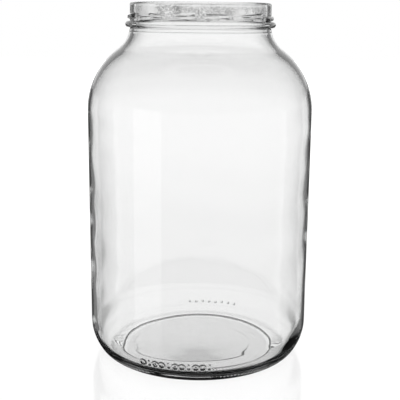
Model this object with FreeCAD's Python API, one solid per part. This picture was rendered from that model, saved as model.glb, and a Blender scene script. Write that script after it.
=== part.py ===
"""Wide-mouth preserving jar: one blown piece of clear glass, in millimetres.

The jar stands on a flat ring at z = 0 with its axis on +Z, and -Y is its front.
An outer and an inner outline are revolved into one wall. Six rising lugs round the
neck take a twist-off lid.
"""
import FreeCAD
import Part
import math
import os

Vec = FreeCAD.Vector

# Body
overall_height = 245.0
body_diameter = 154.5
body_wall = 2.8

# Shoulder and neck sweep: a round arc over the shoulder, then a hollow one up to the neck
shoulder_radius = 50.8
neck_sweep_radius = 20.5
shoulder_wall = 3.2

# Heel: the side turns in on a large arc, then on a small one down to the standing ring
heel_radius = 33.0
heel_corner_radius = 12.0
heel_corner_angle = 54.6        # slope from level where the two arcs meet, degrees
inner_heel_radius = 17.0

# Base: a flat standing ring, a step up inside it and a shallow dome underneath
standing_ring_width = 8.0
ring_step_height = 1.3
ring_step_radius = 0.9
push_up_height = 4.6            # height of the dome's middle above the standing ring
base_thickness = 4.2            # glass at the middle of the base
floor_rise = 5.0                # how much the inside floor stands up at its middle

# Neck finish: a plain wall with a rounded rim
neck_diameter = 95.7
neck_wall = 3.6
finish_height = 14.4            # from the end of the neck sweep up to the rim
rim_outer_radius = 1.1
rim_inner_radius = 1.6

# Transfer bead: the round ring under the lugs
bead_diameter = 102.1
bead_thickness = 4.2
bead_height_below_rim = 14.3

# Lugs: short right-hand ridges that the lid's claws run under
lug_count = 6
lug_span = 54.5                 # degrees round the neck
lug_first_start = -57.5         # degrees from the front, towards +X
lug_projection = 1.6
lug_root_width = 3.4
lug_crest_width = 1.5
lug_rise = 2.8                  # height gained from the low end to the high end
lug_low_end_below_rim = 11.2
lug_end_taper = 5.0             # degrees over which each end sinks into the wall
lug_stations = 9

# How far the lug solids reach into the neck wall, so that they fuse with it
lug_root_depth = 1.4
# How far a lug's tip lies under the wall's face at its two ends
lug_tip_sink = 0.35

body_radius = body_diameter / 2
neck_radius = neck_diameter / 2
sweep_top = overall_height - finish_height


def on_circle(centre, radius, angle):
    """The point at this angle, in degrees from level, on a circle in the plane y = 0."""
    a = math.radians(angle)
    return Vec(centre.x + radius * math.cos(a), 0, centre.z + radius * math.sin(a))


def arc(centre, radius, start, end):
    """An arc in the plane y = 0 from one angle to another, in degrees from level."""
    ends = [on_circle(centre, radius, a) for a in (start, (start + end) / 2, end)]
    return Part.Arc(*ends).toShape()


def line(a, b):
    return Part.LineSegment(a, b).toShape()


def shoulder_arcs(side, neck, round_radius, hollow_radius):
    """The two tangent arcs from an upright side up to an upright neck.

    The arcs' centres lie one sum of radii apart, and the hollow arc's centre is at the
    height where the sweep ends, which gives the height of the other.
    """
    across = side - round_radius - neck - hollow_radius
    down = math.sqrt((round_radius + hollow_radius) ** 2 - across ** 2)
    round_centre = Vec(side - round_radius, 0, sweep_top - down)
    hollow_centre = Vec(neck + hollow_radius, 0, sweep_top)
    meet = math.degrees(math.atan2(down, -across))
    return [
        arc(round_centre, round_radius, 0, meet),
        arc(hollow_centre, hollow_radius, 180 + meet, 180),
    ], on_circle(round_centre, round_radius, 0)


def outer_outline():
    """Edges from the middle of the underside, out, up the side and over the rim."""
    corner = math.radians(heel_corner_angle)
    ring_outer = (
        body_radius
        - heel_radius * (1 - math.sin(corner))
        - heel_corner_radius * math.sin(corner)
    )
    ring_inner = ring_outer - standing_ring_width
    heel_top = heel_corner_radius * (1 - math.cos(corner)) + heel_radius * math.cos(corner)

    # Underside: a dome, a small step down and the flat ring
    dome_edge = Vec(ring_inner - ring_step_radius, 0, ring_step_height)
    dome_middle = Vec(0, 0, push_up_height)
    dome_radius = (
        dome_edge.x ** 2 + (push_up_height - ring_step_height) ** 2
    ) / (2 * (push_up_height - ring_step_height))
    half_way = dome_edge.x / 2
    dome_sag = dome_radius - math.sqrt(dome_radius ** 2 - half_way ** 2)
    dome = Part.Arc(dome_middle, Vec(half_way, 0, push_up_height - dome_sag), dome_edge)
    step_foot = Vec(ring_inner, 0, ring_step_height - ring_step_radius)
    step_centre = Vec(dome_edge.x, 0, step_foot.z)
    edges = [
        dome.toShape(),
        arc(step_centre, ring_step_radius, 90, 0),
        line(step_foot, Vec(ring_inner, 0, 0)),
        line(Vec(ring_inner, 0, 0), Vec(ring_outer, 0, 0)),
    ]

    # Heel and side
    edges.append(arc(Vec(ring_outer, 0, heel_corner_radius), heel_corner_radius, -90,
                     heel_corner_angle - 90))
    edges.append(arc(Vec(body_radius - heel_radius, 0, heel_top), heel_radius,
                     heel_corner_angle - 90, 0))
    sweep, side_top = shoulder_arcs(body_radius, neck_radius, shoulder_radius,
                                    neck_sweep_radius)
    edges.append(line(Vec(body_radius, 0, heel_top), side_top))
    edges.extend(sweep)

    # Neck wall and the outside of the rim
    rim_foot = Vec(neck_radius, 0, overall_height - rim_outer_radius)
    edges.append(line(Vec(neck_radius, 0, sweep_top), rim_foot))
    edges.append(arc(Vec(neck_radius - rim_outer_radius, 0, rim_foot.z), rim_outer_radius,
                     0, 90))
    return edges


def inner_outline():
    """Edges from the inside of the rim down the wall to the middle of the floor."""
    bore_radius = neck_radius - neck_wall
    side = body_radius - body_wall
    round_radius = shoulder_radius - shoulder_wall
    hollow_radius = neck_sweep_radius + shoulder_wall
    floor_middle = push_up_height + base_thickness
    floor_edge = floor_middle - floor_rise

    rim_foot = Vec(bore_radius, 0, overall_height - rim_inner_radius)
    edges = [arc(Vec(bore_radius + rim_inner_radius, 0, rim_foot.z), rim_inner_radius,
                 90, 180)]
    edges.append(line(rim_foot, Vec(bore_radius, 0, sweep_top)))
    sweep, side_top = shoulder_arcs(side, bore_radius, round_radius, hollow_radius)
    edges.extend(reversed(sweep))

    heel_centre = Vec(side - inner_heel_radius, 0, floor_edge + inner_heel_radius)
    edges.append(line(side_top, Vec(side, 0, heel_centre.z)))
    edges.append(arc(heel_centre, inner_heel_radius, 0, -90))
    floor_radius = (heel_centre.x ** 2 + floor_rise ** 2) / (2 * floor_rise)
    half_way = heel_centre.x / 2
    floor_sag = floor_radius - math.sqrt(floor_radius ** 2 - half_way ** 2)
    floor = Part.Arc(Vec(heel_centre.x, 0, floor_edge),
                     Vec(half_way, 0, floor_middle - floor_sag), Vec(0, 0, floor_middle))
    edges.append(floor.toShape())
    return edges


def revolved(edges):
    """The solid swept by a closed outline turned once round the Z axis."""
    outline = Part.Wire(Part.sortEdges(edges)[0])
    return Part.Face(outline).revolve(Vec(0, 0, 0), Vec(0, 0, 1), 360)


def glass_wall():
    """The plain jar: both outlines, closed over the rim and along the axis."""
    outer = outer_outline()
    inner = inner_outline()
    rim = line(outer[-1].Vertexes[-1].Point, inner[0].Vertexes[0].Point)
    axis = line(inner[-1].Vertexes[-1].Point, outer[0].Vertexes[0].Point)
    return revolved(outer + [rim] + inner + [axis])


def transfer_bead():
    """A half-round ring that stands out of the neck under the lugs."""
    half = bead_thickness / 2
    middle = Vec(bead_diameter / 2 - half, 0, overall_height - bead_height_below_rim)
    root = neck_radius - neck_wall / 2
    top = Vec(root, 0, middle.z + half)
    bottom = Vec(root, 0, middle.z - half)
    return revolved([
        arc(middle, half, -90, 90),
        line(Vec(middle.x, 0, top.z), top),
        line(top, bottom),
        line(bottom, Vec(middle.x, 0, bottom.z)),
    ])


def lug_section(projection, middle_height, turn):
    """One closed lug outline, wide at the root and round at the crest, at an angle."""
    root = neck_radius - lug_root_depth
    crest = neck_radius + projection
    flank = crest - min(lug_crest_width / 3, (crest - root) / 2)
    half_root = lug_root_width / 2
    half_crest = lug_crest_width / 2
    low_root = Vec(root, 0, middle_height - half_root)
    high_root = Vec(root, 0, middle_height + half_root)
    low_flank = Vec(flank, 0, middle_height - half_crest)
    high_flank = Vec(flank, 0, middle_height + half_crest)
    nose = Part.Arc(low_flank, Vec(crest, 0, middle_height), high_flank).toShape()
    section = Part.Wire([
        line(low_root, low_flank), nose, line(high_flank, high_root),
        line(high_root, low_root),
    ])
    section.rotate(Vec(0, 0, 0), Vec(0, 0, 1), turn)
    return section


def lug(start):
    """A ridge that rises to the right round the neck and sinks into it at both ends."""
    sections = []
    for station in range(lug_stations):
        share = station / (lug_stations - 1)
        # Stations crowd towards the two ends, where the ridge tapers
        along = lug_span * (1 - math.cos(math.pi * share)) / 2
        from_end = min(along, lug_span - along)
        fade = min(1.0, from_end / lug_end_taper)
        projection = (lug_projection + lug_tip_sink) * math.sin(fade * math.pi / 2)
        height = overall_height - lug_low_end_below_rim + lug_rise * along / lug_span
        sections.append(lug_section(projection - lug_tip_sink, height, start + along - 90))
    return Part.makeLoft(sections, True, False)


def jar():
    pieces = [transfer_bead()]
    for index in range(lug_count):
        pieces.append(lug(lug_first_start + index * 360 / lug_count))
    return glass_wall().fuse(pieces).removeSplitter()


os.makedirs("parts", exist_ok=True)
glass = jar()
glass.exportStep("parts/jar_glass.step")
print("jar_glass: %d solid, %.0f cubic mm, %s" % (
    len(glass.Solids), glass.Volume, "valid" if glass.isValid() else "not valid"))
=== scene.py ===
"""Looks of a wide-mouth preserving jar in clear glass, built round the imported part.

The glass is one closed surface: an outline from the middle of the underside, up the
outside, over the rim and down the inside, turned round the jar's axis and then pushed
in or out along its own normal by small moulded details and the glass's unevenness.
Lengths are in metres and angles in degrees unless a name says otherwise.
"""

import math

import bpy
import numpy as np
from bpy.props import (
    FloatProperty,
    FloatVectorProperty,
    IntProperty,
    PointerProperty,
)
from mathutils import Matrix, Vector


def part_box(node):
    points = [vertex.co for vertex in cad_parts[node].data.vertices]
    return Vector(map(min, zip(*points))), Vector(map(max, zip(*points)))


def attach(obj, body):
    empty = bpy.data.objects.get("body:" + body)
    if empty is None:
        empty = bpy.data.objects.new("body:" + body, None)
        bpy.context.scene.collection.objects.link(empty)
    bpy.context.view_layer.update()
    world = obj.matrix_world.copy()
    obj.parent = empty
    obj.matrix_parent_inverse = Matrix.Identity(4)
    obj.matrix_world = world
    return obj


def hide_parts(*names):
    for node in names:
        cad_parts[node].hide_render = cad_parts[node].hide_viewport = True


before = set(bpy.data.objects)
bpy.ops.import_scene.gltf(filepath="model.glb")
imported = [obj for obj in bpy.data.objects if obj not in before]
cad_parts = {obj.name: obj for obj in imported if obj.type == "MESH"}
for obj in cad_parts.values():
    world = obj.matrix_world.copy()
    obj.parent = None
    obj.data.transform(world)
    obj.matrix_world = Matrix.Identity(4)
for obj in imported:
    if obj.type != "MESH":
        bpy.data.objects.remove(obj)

bl_info = {
    "name": "Preserving jar",
    "version": (1, 0, 0),
    "blender": (4, 5, 0),
    "location": "3D View > Sidebar > Jar",
    "description": "Makes a clear glass preserving jar and the small studio it stands in",
    "category": "Object",
}

NODE = "jar_glass"
LOW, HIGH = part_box(NODE)
HEIGHT = HIGH.z - LOW.z
BODY_RADIUS = (HIGH.x - LOW.x) / 2
MM = 0.001


def length(name, description, default):
    """A length in metres that a user can change."""
    return FloatProperty(name=name, description=description, default=default,
                         min=0.0, unit="LENGTH", subtype="DISTANCE", precision=5)


def share(name, description, default):
    """A number from 0 to 1 that a user can change."""
    return FloatProperty(name=name, description=description, default=default,
                         min=0.0, max=1.0, subtype="FACTOR")


class JarShape(bpy.types.PropertyGroup):
    """Sizes of the moulded glass."""
    neck_radius: length("Neck radius", "Outside of the plain neck wall", 47.85 * MM)
    neck_wall: length("Neck wall", "Glass round the mouth", 3.6 * MM)
    body_wall: length("Body wall", "Glass at the top of the side", 1.9 * MM)
    shoulder_wall: length("Shoulder wall", "Glass over the shoulder", 3.0 * MM)
    wall_drift: length(
        "Wall drift", "How much more glass the side has on the left, and less on the right",
        0.40 * MM)
    wall_gain: length("Wall gain", "How much thicker the side's glass is low down", 1.0 * MM)
    wall_waves: length("Wall waves", "Height of the slow waves on the inside", 0.10 * MM)
    heel_swell: length(
        "Heel swell", "Extra glass in the heel on the right; the left has a little under half",
        2.6 * MM)
    shoulder_radius: length("Shoulder radius", "Round arc over the shoulder", 50.8 * MM)
    sweep_radius: length("Neck sweep radius", "Hollow arc up to the neck", 20.5 * MM)
    heel_radius: length("Heel radius", "Large arc that turns the side in", 33.0 * MM)
    corner_radius: length("Corner radius", "Small arc down to the standing ring", 12.0 * MM)
    inner_heel_radius: length(
        "Inner heel radius", "Arc between the side and the floor inside", 17.0 * MM)
    base_thickness: length("Base thickness", "Glass at the middle of the base", 3.3 * MM)
    floor_rise: length(
        "Floor rise", "How much the floor inside stands up at its middle", 2.5 * MM)
    push_up: length("Push-up", "Height of the dome under the base", 3.0 * MM)
    bead_radius: length("Bead radius", "Outside of the ring under the lugs", 51.05 * MM)
    bead_thickness: length("Bead thickness", "Height of that ring", 4.2 * MM)
    lug_projection: length("Lug projection", "How far the lugs stand out", 1.6 * MM)
    lug_count: IntProperty(name="Lugs", description="Ridges round the neck", default=6, min=1)
    rib_count: IntProperty(
        name="Ribs", description="Short ribs round the standing ring", default=156, min=0)
    rib_depth: length("Rib depth", "Depth of the grooves between those ribs", 0.50 * MM)
    mark_height: length(
        "Mark height", "How far the small marks on the heel stand out", 1.0 * MM)
    neck_unevenness: length(
        "Neck unevenness", "Usual size of the waves inside the neck", 0.012 * MM)


class JarGlass(bpy.types.PropertyGroup):
    """How the glass looks."""
    index: FloatProperty(name="Index", description="Refractive index", default=1.5, min=1.0)
    tint: FloatVectorProperty(
        name="Tint", description="Colour left after a deep look through the glass",
        default=(0.86, 0.93, 0.89), size=3, min=0.0, max=1.0, subtype="COLOR")
    density: FloatProperty(
        name="Density", description="Strength of the tint for a metre of glass", default=6.0,
        min=0.0)
    # Painted shade: this scales the grey tint and the dark speckle painted into the neck's colour
    neck_painted_shade: share(
        "Neck painted shade", "Strength of the fine speckle in patches round the neck", 1.0)


class JarStudio(bpy.types.PropertyGroup):
    """Camera, floor and light."""
    lens: FloatProperty(
        name="Lens", description="Focal length in millimetres", default=74.34, min=1.0)
    aside: length("Camera aside", "To the right of the jar's axis", 0.0007)
    distance: length("Camera distance", "From the jar's axis to the camera", 0.5736)
    height: length("Camera height", "Above the surface the jar stands on", 0.2363)
    pitch: FloatProperty(
        name="Pitch", description="Camera's tilt below level", default=math.radians(12.558),
        subtype="ANGLE")
    roll: FloatProperty(
        name="Roll", description="Camera's turn about its own axis",
        default=math.radians(0.5355), subtype="ANGLE")
    floor_glow: share("Floor glow", "Light that the white sheet gives of itself", 0.74)


# Small sizes and places of the moulded details, in metres and degrees
RING_WIDTH = 8.0 * MM
STEP_HEIGHT = 2.1 * MM
STEP_RADIUS = 0.9 * MM
CORNER_SLOPE = 54.6             # where the two heel arcs meet
FINISH_HEIGHT = 14.4 * MM       # from the end of the neck sweep up to the rim
RIM_OUTER_RADIUS = 1.1 * MM
RIM_INNER_RADIUS = 1.6 * MM
BEAD_BELOW_RIM = 14.3 * MM

# Fine ring where two mould parts meet, in the neck sweep
PARTING_BELOW_RIM = 19.3 * MM
PARTING_DEPTH = 0.12 * MM
PARTING_HALF = 0.5 * MM

# Lugs, as the solid has them
LUG_SPAN = 54.5
LUG_FIRST = -57.5
LUG_RISE = 2.8 * MM
LUG_LOW_BELOW_RIM = 11.2 * MM
LUG_TAPER = 5.0
LUG_ROOT_HALF = 1.7 * MM
LUG_CREST_HALF = 0.75 * MM

# Ribs of the standing ring: the radii they lie between, and where they stop or fade
RIB_INNER = 54.5 * MM
RIB_OUTER = 64.5 * MM
RIB_PLAIN_MIDDLE = -11.5        # none near here, under the marks
RIB_PLAIN_HALF = 19.0
RIB_REAR_FROM = 70.0            # degrees from the front where they begin to fade
RIB_REAR_FADE = 35.0
RIB_REAR_SHARE = 0.15           # how much of their depth is left at the back

# Small raised marks on the front of the heel
MARK_FIRST = -28.0
MARK_PITCH = 3.4
MARK_COUNT = 11
MARK_HEIGHT = 14.2 * MM
MARK_RING = 1.9 * MM            # radius of a ring, and half the width of its ridge
MARK_RIDGE = 0.75 * MM
MARK_PAIR_RISE = 1.7 * MM       # how far each dot of a pair lies from the row's middle
MARK_PAIR_DOT = 1.1 * MM
MARK_EYE = 0.9 * MM

# A row of tiny dots on the back of the heel
DOT_FIRST = 156.0
DOT_PITCH = 4.3
DOT_COUNT = 8
DOT_HEIGHT = 7.0 * MM
DOT_UNEVEN = 0.25 * MM
DOT_RADIUS = 1.0 * MM

# Fine off-centre ring under the base: an ellipse, and the radii it lies between
BAFFLE_HALVES = (42.0 * MM, 31.5 * MM)
BAFFLE_OFFSET = (-4.0 * MM, -5.0 * MM)
BAFFLE_DEPTH = 0.20 * MM
BAFFLE_HALF = 0.8 * MM
BAFFLE_WAVE = 0.012             # how much the outline waves, as a share of its size
BAFFLE_FROM = 30.0 * MM
BAFFLE_TO = 50.0 * MM

# Heights between which the inside of the side is uneven, each with the length it fades over
UNEVEN_LOW = 6.0 * MM
UNEVEN_LOW_FADE = 18.0 * MM
UNEVEN_HIGH = 173.0 * MM
UNEVEN_HIGH_FADE = 14.0 * MM
GAIN_FROM = 0.66                # share of the height below which the side grows thicker
GAIN_OVER = 0.30

# Swellings inside the heel: their height, and the middle and half-width of each in degrees
SWELL_HEIGHT = 15.5 * MM
SWELL_HALF = 11.5 * MM
SWELL_RIGHT = (80.0, 52.0)
SWELL_LEFT = (-86.0, 45.0)
SWELL_LEFT_SHARE = 0.45

COLUMNS = 126                   # vertices once round the plain stretches
# Places with more vertices: degrees from the front, half-width, and the extra share of them
CROWDED_AT = ((-9.5, 24.0, 3.0), (171.0, 21.0, 2.5))
CROWDED_FADE = 4.0
SAME_PLACE = 1e-7               # points nearer than this are one point

PANEL_TURN = 45.0               # degrees from one light panel to the next
# Painted shadow: the floor under the base is darker to looks through the glass
SHADOW_UNDER_BASE = 0.71               # share of light that passes the floor under the base
FLOOR_HALF = 4.0                # half the floor's side, in metres


def arc_run(centre, radius, start, end, count):
    """Points (radius, height) along an arc from one angle to another, in degrees."""
    angle = np.radians(np.linspace(start, end, count))
    return np.stack([centre[0] + radius * np.cos(angle),
                     centre[1] + radius * np.sin(angle)], 1)


def line_run(a, b, count):
    """Points (radius, height) evenly along a straight stretch."""
    t = np.linspace(0, 1, count)[:, None]
    return (1 - t) * np.array(a) + t * np.array(b)


def crowded(first, last, low, high, count):
    """Numbers from first to last, three times as close together from low to high."""
    fine = np.linspace(first, last, 2001)
    total = np.cumsum(1 + 2.0 * ((fine > low) & (fine < high)))
    return np.interp(np.linspace(total[0], total[-1], count), total, fine)


def dome_run(edge, middle_height, r):
    """Points at the radii r on a shallow dome, a part of a circle from middle to edge."""
    rise = middle_height - edge[1]
    big = (edge[0] ** 2 + rise ** 2) / (2 * rise)
    return np.stack([r, middle_height - big + np.sqrt(big ** 2 - r ** 2)], 1)


def floor_run(edge, middle_height, count):
    """Points from edge to middle on a floor that swells up smoothly, level at both ends."""
    r = np.linspace(edge[0], 0, count)
    return np.stack([r, edge[1] + (middle_height - edge[1]) * smooth(1 - r / edge[0])], 1)


def shoulder_arcs(side, neck, round_radius, hollow_radius, top):
    """Centres of the two tangent arcs from the side up to the neck, and their slope.

    The centres lie one sum of radii apart, and the hollow one is level with the top.
    """
    across = side - round_radius - neck - hollow_radius
    down = math.sqrt((round_radius + hollow_radius) ** 2 - across ** 2)
    meet = math.degrees(math.atan2(down, -across))
    return (side - round_radius, top - down), (neck + hollow_radius, top), meet


def outline(s):
    """The stretches of the outline in order: (name, points, vertices round the jar).

    From the middle of the underside out to the heel, up the outside, over the rim, down
    the inside and back to the middle of the floor.
    """
    slope = math.radians(CORNER_SLOPE)
    ring_out = (BODY_RADIUS - s.heel_radius * (1 - math.sin(slope))
                - s.corner_radius * math.sin(slope))
    ring_in = ring_out - RING_WIDTH
    heel_top = s.corner_radius * (1 - math.cos(slope)) + s.heel_radius * math.cos(slope)
    sweep_top = HEIGHT - FINISH_HEIGHT
    step_edge = (ring_in - STEP_RADIUS, STEP_HEIGHT)

    round_c, hollow_c, meet = shoulder_arcs(BODY_RADIUS, s.neck_radius, s.shoulder_radius,
                                            s.sweep_radius, sweep_top)
    bead_half = s.bead_thickness / 2
    bead_z = HEIGHT - BEAD_BELOW_RIM
    bead_c = (s.bead_radius - bead_half, bead_z)
    below_bead = math.degrees(math.asin((sweep_top - (bead_z - bead_half)) / s.sweep_radius))
    parting_z = HEIGHT - PARTING_BELOW_RIM
    parting = math.degrees(math.asin((sweep_top - parting_z) / s.sweep_radius))
    lug_top = HEIGHT - LUG_LOW_BELOW_RIM + LUG_RISE + LUG_ROOT_HALF

    bore = s.neck_radius - s.neck_wall
    side_in = BODY_RADIUS - s.body_wall
    round_in_r = s.shoulder_radius - s.shoulder_wall
    sweep_in_r = s.sweep_radius + s.shoulder_wall
    round_in, hollow_in, meet_in = shoulder_arcs(side_in, bore, round_in_r, sweep_in_r, sweep_top)
    floor_mid = s.push_up + s.base_thickness
    floor_edge = (side_in - s.inner_heel_radius, floor_mid - s.floor_rise)
    heel_in = (floor_edge[0], floor_edge[1] + s.inner_heel_radius)

    # Centres of the small arcs, and the ends of the straight stretches
    step_c = (step_edge[0], STEP_HEIGHT - STEP_RADIUS)
    corner_c = (ring_out, s.corner_radius)
    heel_c = (BODY_RADIUS - s.heel_radius, heel_top)
    rim_out_c = (s.neck_radius - RIM_OUTER_RADIUS, HEIGHT - RIM_OUTER_RADIUS)
    rim_in_c = (bore + RIM_INNER_RADIUS, HEIGHT - RIM_INNER_RADIUS)
    neck_foot = (s.neck_radius, bead_z + bead_half)
    neck_top = (s.neck_radius, lug_top)
    rim_foot = (s.neck_radius, HEIGHT - RIM_OUTER_RADIUS)
    under_r = crowded(0, step_edge[0], BAFFLE_FROM, BAFFLE_TO, 54)

    # Stretches with fine relief have two, four or eight times as many vertices round the jar,
    # and short stretches on either side take up the change
    n = COLUMNS
    steep = CORNER_SLOPE - 90
    runs = [
        ("under", dome_run(step_edge, s.push_up, under_r), n),
        ("step", arc_run(step_c, STEP_RADIUS, 90, 0, 6), 8 * n),
        ("ring", line_run((ring_in, 0), (ring_out, 0), 10), 8 * n),
        ("corner", arc_run(corner_c, s.corner_radius, -90, steep, 9), 8 * n),
        ("heel", arc_run(heel_c, s.heel_radius, steep, -8, 42), 4 * n),
        ("heel_top", arc_run(heel_c, s.heel_radius, -7, 0, 4), 2 * n),
        ("side", line_run((BODY_RADIUS, heel_top), (BODY_RADIUS, round_c[1]), 20), n),
        ("shoulder", arc_run(round_c, s.shoulder_radius, 0, meet, 22), n),
        ("sweep", arc_run(hollow_c, s.sweep_radius, 180 + meet, 180 + parting + 3, 12), n),
        ("parting", arc_run(hollow_c, s.sweep_radius, 180 + parting + 2.4,
                            180 + parting - 2.4, 9), n),
        ("below_bead", arc_run(hollow_c, s.sweep_radius, 180 + parting - 3,
                               180 + below_bead, 3), n),
        ("bead", arc_run(bead_c, bead_half, -90, 90, 15), n),
        ("neck", line_run(neck_foot, neck_top, 24), 4 * n),
        ("neck_plain", line_run(neck_top, rim_foot, 5), n),
        ("rim_out", arc_run(rim_out_c, RIM_OUTER_RADIUS, 0, 90, 8), n),
        ("rim_in", arc_run(rim_in_c, RIM_INNER_RADIUS, 90, 180, 9), n),
        ("bore", line_run((bore, rim_in_c[1]), (bore, sweep_top), 18), 2 * n),
        ("sweep_in", arc_run(hollow_in, sweep_in_r, 180, 180 + meet_in, 14), 2 * n),
        ("shoulder_in", arc_run(round_in, round_in_r, meet_in, 0, 22), n),
        ("side_in", line_run((side_in, round_in[1]), (side_in, heel_in[1]), 44), n),
        ("heel_in", arc_run(heel_in, s.inner_heel_radius, 0, -90, 18), n),
        ("floor", floor_run(floor_edge, floor_mid, 18), n),
    ]

    # A stretch that begins where the one before it ends leaves out its first point
    joined = runs[:1]
    for before, (name, points, columns) in zip(runs, runs[1:]):
        apart = np.abs(points[0] - before[1][-1]).max() > SAME_PLACE
        joined.append((name, points if apart else points[1:], columns))
    return joined


def smooth(t):
    """0 below 0, 1 above 1 and an even S between them."""
    t = np.clip(t, 0, 1)
    return t * t * (3 - 2 * t)


def hump(distance, half_width):
    """A round bump: 1 at its middle and 0 from half_width outwards."""
    return smooth(1 - np.abs(distance) / half_width)


def waves(azimuth, height, seed, terms, turns, shortest):
    """Slow unevenness: a sum of slanting sine waves that close round the jar.

    Each has its own whole number of turns, its own pitch along the height, no shorter
    than the shortest, and its own phase. The sum's usual size is about 1.
    """
    rng = np.random.default_rng(seed)
    around = rng.integers(0, turns + 1, terms)
    along = rng.uniform(-1, 1, terms) / shortest
    phase = rng.uniform(0, 2 * math.pi, terms)
    a = np.radians(azimuth)
    total = sum(np.sin(around[i] * a + 2 * math.pi * along[i] * height + phase[i])
                for i in range(terms))
    return total / math.sqrt(terms / 2)


def from_front(azimuth, centre):
    """Degrees from a place round the jar, between -180 and 180."""
    return (azimuth - centre + 180) % 360 - 180


def lug_relief(s, azimuth, height):
    """How far the lugs stand out: a ridge that rises to the right and sinks at both ends."""
    raised = np.zeros(np.broadcast(azimuth, height).shape)
    for index in range(s.lug_count):
        along = (azimuth - LUG_FIRST - index * 360 / s.lug_count) % 360
        middle = HEIGHT - LUG_LOW_BELOW_RIM + LUG_RISE * along / LUG_SPAN
        ends = smooth(np.minimum(along, LUG_SPAN - along) / LUG_TAPER)
        side = smooth((LUG_ROOT_HALF - np.abs(height - middle)) / (LUG_ROOT_HALF - LUG_CREST_HALF))
        raised = np.maximum(raised, ends * side)
    return s.lug_projection * raised


def rib_relief(s, azimuth, radius):
    """Grooves between the short ribs of the standing ring, cut inwards as a cosine wave.

    There are none under the marks, and they grow faint towards the back.
    """
    band = smooth((radius - RIB_INNER) / MM) * smooth((RIB_OUTER - radius) / (1.5 * MM))
    plain = smooth((np.abs(from_front(azimuth, RIB_PLAIN_MIDDLE)) - RIB_PLAIN_HALF) / 2)
    rear = smooth((np.abs(from_front(azimuth, 0)) - RIB_REAR_FROM) / RIB_REAR_FADE)
    faint = 1 - (1 - RIB_REAR_SHARE) * rear
    wave = 0.5 - 0.5 * np.cos(np.radians(azimuth) * s.rib_count)
    return -s.rib_depth * band * plain * faint * wave


def mark_relief(s, azimuth, radius, height):
    """Plain raised marks on the front of the heel, in turn a ring, two dots and an eye.

    Each is a round bump over the distance from its centre, or from a circle round it.
    """
    raised = np.zeros(np.broadcast(azimuth, height).shape)
    up = height - MARK_HEIGHT
    for index in range(MARK_COUNT):
        across = np.radians(from_front(azimuth, MARK_FIRST + index * MARK_PITCH)) * radius
        away = np.hypot(across, up)
        ring = hump(away - MARK_RING, MARK_RIDGE)
        pair = hump(np.hypot(across, np.abs(up) - MARK_PAIR_RISE), MARK_PAIR_DOT)
        eye = np.maximum(ring, hump(away, MARK_EYE))
        raised = np.maximum(raised, (ring, pair, eye)[index % 3])
    return s.mark_height * raised


def dot_relief(s, azimuth, radius, height):
    """A row of tiny raised dots on the back of the heel, twice as tall as wide and uneven."""
    raised = np.zeros(np.broadcast(azimuth, height).shape)
    for index in range(DOT_COUNT):
        across = np.radians(from_front(azimuth, DOT_FIRST + index * DOT_PITCH)) * radius
        rise = height - DOT_HEIGHT - DOT_UNEVEN * (index % 3)
        raised = np.maximum(raised, hump(np.hypot(across, rise / 2), DOT_RADIUS))
    return s.mark_height * raised


def baffle_relief(azimuth, radius):
    """A fine off-centre ring under the base, where the first mould's end plate was.

    It is a groove over the distance from an ellipse, whose outline waves a little.
    """
    x = (radius * np.sin(np.radians(azimuth)) - BAFFLE_OFFSET[0]) / BAFFLE_HALVES[0]
    y = (-radius * np.cos(np.radians(azimuth)) - BAFFLE_OFFSET[1]) / BAFFLE_HALVES[1]
    wavy = 1 + BAFFLE_WAVE * waves(azimuth, 0 * radius, seed=21, terms=5, turns=6, shortest=1.0)
    return -BAFFLE_DEPTH * hump((np.hypot(x, y) - wavy) * BAFFLE_HALVES[1], BAFFLE_HALF)


def side_unevenness(s, azimuth, height):
    """How much thicker the side and heel are inside than their plain outline.

    The glass is thicker on the left, low down and in slow waves, which are calmer at the
    front and back, and it swells in the heel on the right and less so on the left.
    """
    fade = (smooth((height - UNEVEN_LOW) / UNEVEN_LOW_FADE)
            * smooth((UNEVEN_HIGH - height) / UNEVEN_HIGH_FADE))
    drift = s.wall_drift * np.cos(np.radians(azimuth + 90))
    gain = s.wall_gain * smooth((GAIN_FROM - height / HEIGHT) / GAIN_OVER)
    calm = 0.25 + 0.75 * np.sin(np.radians(azimuth)) ** 2
    wavy = s.wall_waves * calm * waves(azimuth, height, seed=5, terms=9, turns=7,
                                       shortest=30 * MM)
    right = hump(from_front(azimuth, SWELL_RIGHT[0]), SWELL_RIGHT[1])
    left = hump(from_front(azimuth, SWELL_LEFT[0]), SWELL_LEFT[1])
    swell = (s.heel_swell * (right + SWELL_LEFT_SHARE * left)
             * hump(height - SWELL_HEIGHT, SWELL_HALF))
    return swell + fade * (drift + gain + wavy)


def relief(s, name, azimuth, r, z):
    """How far each point of a stretch is pushed along its normal, outwards from the glass."""
    zero = np.zeros(np.broadcast(azimuth, z).shape)
    if name == "neck":
        return lug_relief(s, azimuth, z)
    if name in ("ring", "corner"):
        return zero + rib_relief(s, azimuth, r)
    if name == "heel":
        return mark_relief(s, azimuth, r, z) + dot_relief(s, azimuth, r, z)
    if name == "under":
        return baffle_relief(azimuth, r)
    if name == "bore":
        fade = smooth((z - z.min()) / (3 * MM)) * smooth((z.max() - z) / (3 * MM))
        return fade * s.neck_unevenness * waves(azimuth, z, seed=11, terms=16, turns=16,
                                                shortest=9 * MM)
    if name == "parting":
        return zero - PARTING_DEPTH * hump(z - (HEIGHT - PARTING_BELOW_RIM), PARTING_HALF)
    if name in ("side_in", "heel_in"):
        return side_unevenness(s, azimuth, z)
    return zero


def azimuths(columns):
    """Azimuths once round the jar, closer together at the marks and dots on the heel."""
    fine = np.linspace(-180, 180, 3601)
    density = np.ones(len(fine))
    for place, half, more in CROWDED_AT:
        density += more * smooth((half - np.abs(from_front(fine, place))) / CROWDED_FADE)
    total = np.concatenate([[0], np.cumsum((density[1:] + density[:-1]) / 2)])
    return np.interp(np.arange(columns) / columns, total / total[-1], fine)


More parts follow.
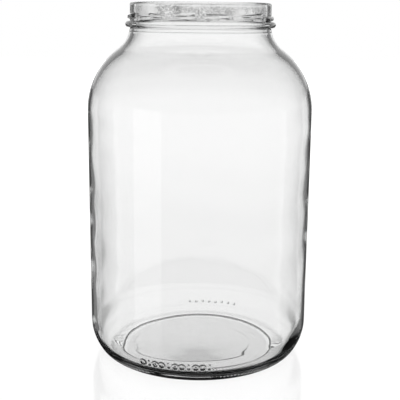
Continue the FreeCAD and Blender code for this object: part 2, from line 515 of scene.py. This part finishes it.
def glass_bands(s):
    """Every stretch as a grid of points: rows along the outline, columns round the jar.

    A point is the outline's point, pushed along the outline's normal by its relief, and
    turned to its azimuth. Azimuth 0 is the front, and it grows towards +X.
    """
    runs = outline(s)
    line = np.concatenate([run[1] for run in runs])
    tangent = np.gradient(line, axis=0)
    tangent /= np.linalg.norm(tangent, axis=1)[:, None]
    normal = np.stack([tangent[:, 1], -tangent[:, 0]], 1)
    bands = []
    start = 0
    for name, points, columns in runs:
        rows = slice(start, start + len(points))
        start += len(points)
        azimuth = azimuths(columns)[None, :]
        r = points[:, 0][:, None]
        z = points[:, 1][:, None]
        push = relief(s, name, azimuth, r, z)
        out = r + normal[rows, 0][:, None] * push
        up = z + normal[rows, 1][:, None] * push
        turn = np.radians(azimuth)
        bands.append((np.stack([out * np.sin(turn), -out * np.cos(turn),
                                np.broadcast_to(up, out.shape)], 2), r[0, 0], r[-1, 0]))
    return bands


def quads(first, second):
    """Faces between two rings of vertex numbers of the same length, facing outwards."""
    return np.stack([first, np.roll(first, -1), np.roll(second, -1), second], 1)


def fanned(coarse, fine, coarse_is_below):
    """Triangles between a ring and a neighbouring ring of two, four or eight times as many."""
    step = len(fine) // len(coarse)
    nearest = coarse[((np.arange(len(fine)) + step // 2) // step) % len(coarse)]
    after = np.roll(fine, -1)
    faces = np.stack([nearest, after, fine], 1)
    middle = fine[step // 2::step]
    wide = np.stack([coarse, np.roll(coarse, -1), middle], 1)
    faces = np.concatenate([faces, wide])
    return faces if coarse_is_below else faces[:, ::-1]


def stitched(bands):
    """Joins the bands' grids, ring after ring, into one closed mesh with two poles."""
    vertices = []
    rings = []
    count = 0
    for grid, first, last in bands:
        for row in grid:
            if np.hypot(row[0, 0], row[0, 1]) < SAME_PLACE:
                row = row[:1]
            vertices.append(row)
            rings.append(np.arange(count, count + len(row)))
            count += len(row)
    faces4 = []
    faces3 = []
    for low, high in zip(rings[:-1], rings[1:]):
        if len(low) == 1:
            faces3.append(np.stack([np.repeat(low, len(high)), np.roll(high, -1), high], 1))
        elif len(high) == 1:
            faces3.append(np.stack([low, np.roll(low, -1), np.repeat(high, len(low))], 1))
        elif len(low) == len(high):
            faces4.append(quads(low, high))
        elif len(high) > len(low):
            faces3.append(fanned(low, high, True))
        else:
            faces3.append(fanned(high, low, False))
    return np.concatenate(vertices), np.concatenate(faces4), np.concatenate(faces3)


def new_piece(name, vertices, faces4, faces3, material):
    """A smooth mesh object at the origin from whole arrays of points and faces."""
    mesh = bpy.data.meshes.new(name)
    loops = np.concatenate([faces4.ravel(), faces3.ravel()])
    totals = np.concatenate([np.full(len(faces4), 4), np.full(len(faces3), 3)])
    mesh.vertices.add(len(vertices))
    mesh.loops.add(len(loops))
    mesh.polygons.add(len(totals))
    mesh.vertices.foreach_set("co", vertices.astype(np.float32).ravel())
    mesh.loops.foreach_set("vertex_index", loops.astype(np.int32))
    starts = np.concatenate([[0], np.cumsum(totals)[:-1]])
    mesh.polygons.foreach_set("loop_start", starts.astype(np.int32))
    mesh.polygons.foreach_set("loop_total", totals.astype(np.int32))
    mesh.update(calc_edges=True)
    mesh.validate()
    mesh.polygons.foreach_set("use_smooth", np.ones(len(totals), bool))
    mesh.materials.append(material)
    piece = bpy.data.objects.new(name, mesh)
    bpy.context.scene.collection.objects.link(piece)
    return piece


class Value:
    """A shader socket that takes part in Python arithmetic, adding Math nodes."""

    def __init__(self, graph, socket):
        self.graph = graph
        self.socket = socket

    def maths(self, operation, *others):
        inputs = dict(enumerate((self,) + others))
        return self.graph.add("ShaderNodeMath", {"operation": operation}, inputs)

    def __add__(self, other):
        return self.maths("ADD", other)

    def __mul__(self, other):
        return self.maths("MULTIPLY", other)

    def __sub__(self, other):
        return self.maths("SUBTRACT", other)

    def __rsub__(self, other):
        return self.graph.add("ShaderNodeMath", {"operation": "SUBTRACT"}, {0: other, 1: self})

    __radd__ = __add__
    __rmul__ = __mul__

    def over(self, limit):
        """1 where this is more than the limit, otherwise 0."""
        return self.maths("GREATER_THAN", limit)

    def ramp(self, low, high):
        """0 at low and below, 1 at high and above, with a smooth S between."""
        return self.graph.add("ShaderNodeMapRange", {"interpolation_type": "SMOOTHSTEP"},
                              {"Value": self, "From Min": low, "From Max": high})


class Graph:
    """The node tree of a material or a world, cleared and filled from Python."""

    def __init__(self, owner):
        owner.use_nodes = True
        self.tree = owner.node_tree
        self.tree.nodes.clear()

    def add(self, kind, settings=None, inputs=None, output=0):
        """A node with its settings and inputs set, as one of its output values."""
        node = self.tree.nodes.new(kind)
        for key, value in (settings or {}).items():
            setattr(node, key, value)
        for key, value in (inputs or {}).items():
            if isinstance(value, Value):
                self.tree.links.new(value.socket, node.inputs[key])
            else:
                node.inputs[key].default_value = value
        return Value(self, node.outputs[output]) if node.outputs else None

    def parts(self, vector):
        """The x, y and z of a vector, as three values."""
        x = self.add("ShaderNodeSeparateXYZ", {}, {0: vector})
        return [Value(self, output) for output in x.socket.node.outputs]


def glass_material(g):
    """Clear soda glass: smooth, faintly tinted by its depth, with a slight ripple.

    Between the bead and the rim the Base Color paints shade on the neck: a little grey all round,
    and in patches a darker fine speckle that paints the shade of the glass's grainy surface there.
    """
    material = bpy.data.materials.new("clear_glass")
    graph = Graph(material)
    place = graph.add("ShaderNodeTexCoord", output="Object")
    ripple = graph.add("ShaderNodeTexNoise", {}, {
        "Vector": place, "Scale": 60.0, "Detail": 2.0})
    speckle = graph.add("ShaderNodeTexNoise", {}, {
        "Vector": place, "Scale": 1300.0, "Detail": 0.0})
    patches = graph.add("ShaderNodeTexNoise", {}, {
        "Vector": place, "Scale": 55.0, "Detail": 3.0})
    z = graph.parts(place)[2]
    # Painted shade round the neck: a grey tint and a dark speckle in the Base Color, not the
    # glass's own colour
    over_bead = z.ramp(HEIGHT - 13 * MM, HEIGHT - 11 * MM)
    neck = over_bead * (1.0 - z.ramp(HEIGHT - 3 * MM, HEIGHT - 1 * MM))
    painted_grain_shade = speckle.ramp(0.47, 0.57) * patches.ramp(0.50, 0.60)
    painted_neck_shade = neck * (0.07 + painted_grain_shade * 0.55) * g.neck_painted_shade
    bump = graph.add("ShaderNodeBump", {}, {
        "Strength": 0.02, "Distance": 0.0005, "Height": ripple})
    glass = graph.add("ShaderNodeBsdfPrincipled", {}, {
        "Base Color": 1.0 - painted_neck_shade,
        "Roughness": 0.0,
        "IOR": g.index,
        "Transmission Weight": 1.0,
        "Normal": bump,
    })
    depth = graph.add("ShaderNodeVolumeAbsorption", {}, {
        "Color": (*g.tint, 1.0), "Density": g.density})
    graph.add("ShaderNodeOutputMaterial", {}, {"Surface": glass, "Volume": depth})
    return material


def floor_material(s):
    """A white glossy sheet that only the camera sees; other looks pass it.

    Under the middle of the base it dims the looks that pass, a painted shadow of the jar on the
    floor, which greys the base.
    """
    material = bpy.data.materials.new("white_sheet")
    graph = Graph(material)
    camera = graph.add("ShaderNodeLightPath", output="Is Camera Ray")
    sheet = graph.add("ShaderNodeBsdfPrincipled", {}, {
        "Base Color": (0.18, 0.18, 0.18, 1.0),
        "Roughness": 0.03,
        "IOR": 1.7,
        "Emission Color": (1.0, 1.0, 1.0, 1.0),
        "Emission Strength": s.floor_glow,
    })
    place = graph.add("ShaderNodeTexCoord", output="Object")
    away = graph.add("ShaderNodeVectorMath", {"operation": "LENGTH"}, {0: place},
                     output="Value")
    # Painted shadow of the jar: dims the looks that pass the floor under the base
    painted_shadow = graph.add("ShaderNodeBsdfTransparent", {}, {
        "Color": (SHADOW_UNDER_BASE, SHADOW_UNDER_BASE, SHADOW_UNDER_BASE, 1.0)})
    clear = graph.add("ShaderNodeBsdfTransparent", {}, {"Color": (1.0, 1.0, 1.0, 1.0)})
    passing = graph.add("ShaderNodeMixShader", {}, {
        0: away.ramp(49 * MM, 54 * MM), 1: painted_shadow, 2: clear})
    mixed = graph.add("ShaderNodeMixShader", {}, {0: camera, 1: passing, 2: sheet})
    graph.add("ShaderNodeOutputMaterial", {}, {"Surface": mixed})
    return material


def chosen(choice, yes, no):
    """The value yes where the choice is 1, and no where it is 0."""
    return choice * yes + (1.0 - choice) * no


def through_glass(off, down):
    """Brightness of looks straight through the glass.

    Across, a panel is bright at its middle and grey at its sides, greyer where the look
    slants down, and there are no panels further down. Along, it is a little darker above
    level, dark from about 50 degrees down and bright again straight down.
    """
    across = (0.97 - off.ramp(8.0, 13.0) * 0.14 - off.ramp(13.0, 18.0) * 0.16
              - off.ramp(18.0, 22.5) * 0.25)
    across = across - off.ramp(12.5, 17.0) * down.ramp(12.5, 16.0) * 0.30
    across = chosen(down.ramp(22.0, 38.0), 0.97, across)
    along = (0.88 + down.ramp(-2.0, 1.0) * 0.05 + down.ramp(1.0, 4.0) * 0.07
             - down.ramp(8.0, 18.0) * 0.08 - down.ramp(44.0, 56.0) * 0.84
             + down.ramp(66.0, 80.0) * 0.80)
    return across * along


def off_face(azimuth, aside, down, y):
    """Brightness of reflections off the outside of the jar and off the floor.

    There is a bright strip at the front left, grey to both sides of straight behind, and
    darkness below. The far side above level is white, which is what the floor mirrors.
    """
    up = 0.0 - down
    left = 0.0 - azimuth
    strip = (left.over(110.0) * (1.0 - left.over(142.0))
             * down.ramp(-10.0, -6.0) * (1.0 - down.ramp(22.0, 26.0)))
    beside = aside.ramp(10.0, 18.0) - aside.ramp(26.0, 40.0)
    below = down.ramp(20.0, 26.0)
    front = (0.82 - beside * 0.70 + strip * 0.95) * (1.0 - below * 0.95)
    mirror = y.ramp(-0.1, 0.0) * up.ramp(0.5, 3.0) * (1.0 - up.ramp(40.0, 50.0))
    return chosen(mirror, 1.0, front)


def turned_inside(off, aside, down, y, passed, turned):
    """Brightness of looks that were turned back inside the glass.

    Once turned and leaving to the far side, they see the middles of the panels in nearly
    level looks and darkness elsewhere. Leaving to the near side they see grey. After
    passing the far wall too they see white. Turned twice they see darkness, and turned
    more often a light panel straight behind the jar.
    """
    up = 0.0 - down
    far = y.ramp(-0.1, 0.1)
    level_look = down.ramp(-9.0, -4.0) * (1.0 - down.ramp(18.0, 24.0))
    behind = 1.0 - aside.ramp(17.0, 24.0)
    bright = (1.0 - off.ramp(5.0, 10.0)).maths("MAXIMUM", behind)
    panels = 0.01 + bright * level_look * 0.90
    near = 0.48 - down.ramp(13.0, 19.0) * 0.45 - up.ramp(7.0, 14.0) * 0.45
    past_far_wall = passed.over(3.5)
    once = chosen(past_far_wall, 1.12, chosen(far, panels, near))
    slanting = down.ramp(2.0, 5.0) * (1.0 - down.ramp(15.0, 18.5))
    panel = far * slanting * behind * 0.75
    return chosen(turned.over(1.5), turned.over(2.5) * panel, once)


def studio_world(s):
    """White to the camera, and soft panels every 45 degrees to looks through the glass.

    Light Path's depths tell looks straight through the glass, reflections off its face and
    looks turned back inside it apart, and each kind has its own brightness.
    """
    world = bpy.data.worlds.new("studio")
    graph = Graph(world)
    camera = graph.add("ShaderNodeLightPath", output="Is Camera Ray")
    passed = graph.add("ShaderNodeLightPath", output="Transmission Depth")
    turned = graph.add("ShaderNodeLightPath", output="Glossy Depth")
    x, y, z = graph.parts(graph.add("ShaderNodeTexCoord", output="Generated"))
    degrees = 180 / math.pi
    azimuth = x.maths("ARCTAN2", y) * degrees
    aside = azimuth.maths("ABSOLUTE")
    down = (0.0 - z).maths("ARCSINE") * degrees
    turns = azimuth * (1 / PANEL_TURN)
    off = (turns - turns.maths("ROUND")).maths("ABSOLUTE") * PANEL_TURN

    inside = passed.over(0.5)
    reflected = chosen(inside, turned_inside(off, aside, down, y, passed, turned),
                       off_face(azimuth, aside, down, y))
    direct = chosen(inside, through_glass(off, down), 1.0)
    level = chosen(camera, 1.0, chosen(turned.over(0.5), reflected, direct))
    sky = graph.add("ShaderNodeBackground", {}, {
        "Color": (1.0, 1.0, 1.0, 1.0), "Strength": level})
    graph.add("ShaderNodeOutputWorld", {}, {"Surface": sky})
    return world


class JAR_OT_glass(bpy.types.Operator):
    """Make the jar's glass and show it in place of the plain solid"""
    bl_idname = "jar.glass"
    bl_label = "Glass"

    def execute(self, context):
        scene = context.scene
        vertices, faces4, faces3 = stitched(glass_bands(scene.jar_shape))
        material = glass_material(scene.jar_look)
        piece = new_piece("jar_glass_wall", vertices, faces4, faces3, material)
        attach(piece, "root")
        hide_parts(NODE)
        print("glass triangles", 2 * len(faces4) + len(faces3))
        return {"FINISHED"}


class JAR_OT_stage(bpy.types.Operator):
    """Make the floor, the light round the jar and the camera"""
    bl_idname = "jar.stage"
    bl_label = "Stage"

    def execute(self, context):
        scene = context.scene
        studio = scene.jar_studio
        corners = FLOOR_HALF * np.array([(-1, -1, 0), (1, -1, 0), (1, 1, 0), (-1, 1, 0)])
        floor = new_piece("floor", corners, np.array([[0, 1, 2, 3]]), np.zeros((0, 3), int),
                          floor_material(studio))
        scene.world = studio_world(studio)

        camera = bpy.data.objects.new("camera", bpy.data.cameras.new("camera"))
        camera.data.lens = studio.lens
        camera.data.sensor_width = 36.0
        camera.matrix_world = (
            Matrix.Translation(Vector((studio.aside, -studio.distance, studio.height)))
            @ Matrix.Rotation(math.pi / 2 - studio.pitch, 4, "X")
            @ Matrix.Rotation(studio.roll, 4, "Z"))
        camera.data.clip_start = 0.01
        scene.collection.objects.link(camera)
        scene.camera = camera

        scene.view_settings.view_transform = "Standard"
        scene.cycles.max_bounces = 24
        scene.cycles.transmission_bounces = 20
        scene.cycles.glossy_bounces = 12
        scene.cycles.transparent_max_bounces = 12
        return {"FINISHED"}


class JAR_PT_panel(bpy.types.Panel):
    """Lists the jar's pieces"""
    bl_label = "Jar"
    bl_idname = "JAR_PT_panel"
    bl_space_type = "VIEW_3D"
    bl_region_type = "UI"
    bl_category = "Jar"

    def draw(self, context):
        for operator in (JAR_OT_glass, JAR_OT_stage):
            self.layout.operator(operator.bl_idname)
        for group in (context.scene.jar_shape, context.scene.jar_look, context.scene.jar_studio):
            for name in group.__annotations__:
                self.layout.prop(group, name)


CLASSES = (JarShape, JarGlass, JarStudio, JAR_OT_glass, JAR_OT_stage, JAR_PT_panel)


def register():
    for c in CLASSES:
        bpy.utils.register_class(c)
    bpy.types.Scene.jar_shape = PointerProperty(type=JarShape)
    bpy.types.Scene.jar_look = PointerProperty(type=JarGlass)
    bpy.types.Scene.jar_studio = PointerProperty(type=JarStudio)


def unregister():
    del bpy.types.Scene.jar_studio
    del bpy.types.Scene.jar_look
    del bpy.types.Scene.jar_shape
    for c in reversed(CLASSES):
        bpy.utils.unregister_class(c)


def main():
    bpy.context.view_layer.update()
    register()
    bpy.ops.jar.glass()
    bpy.ops.jar.stage()


if __name__ == "__main__":
    main()
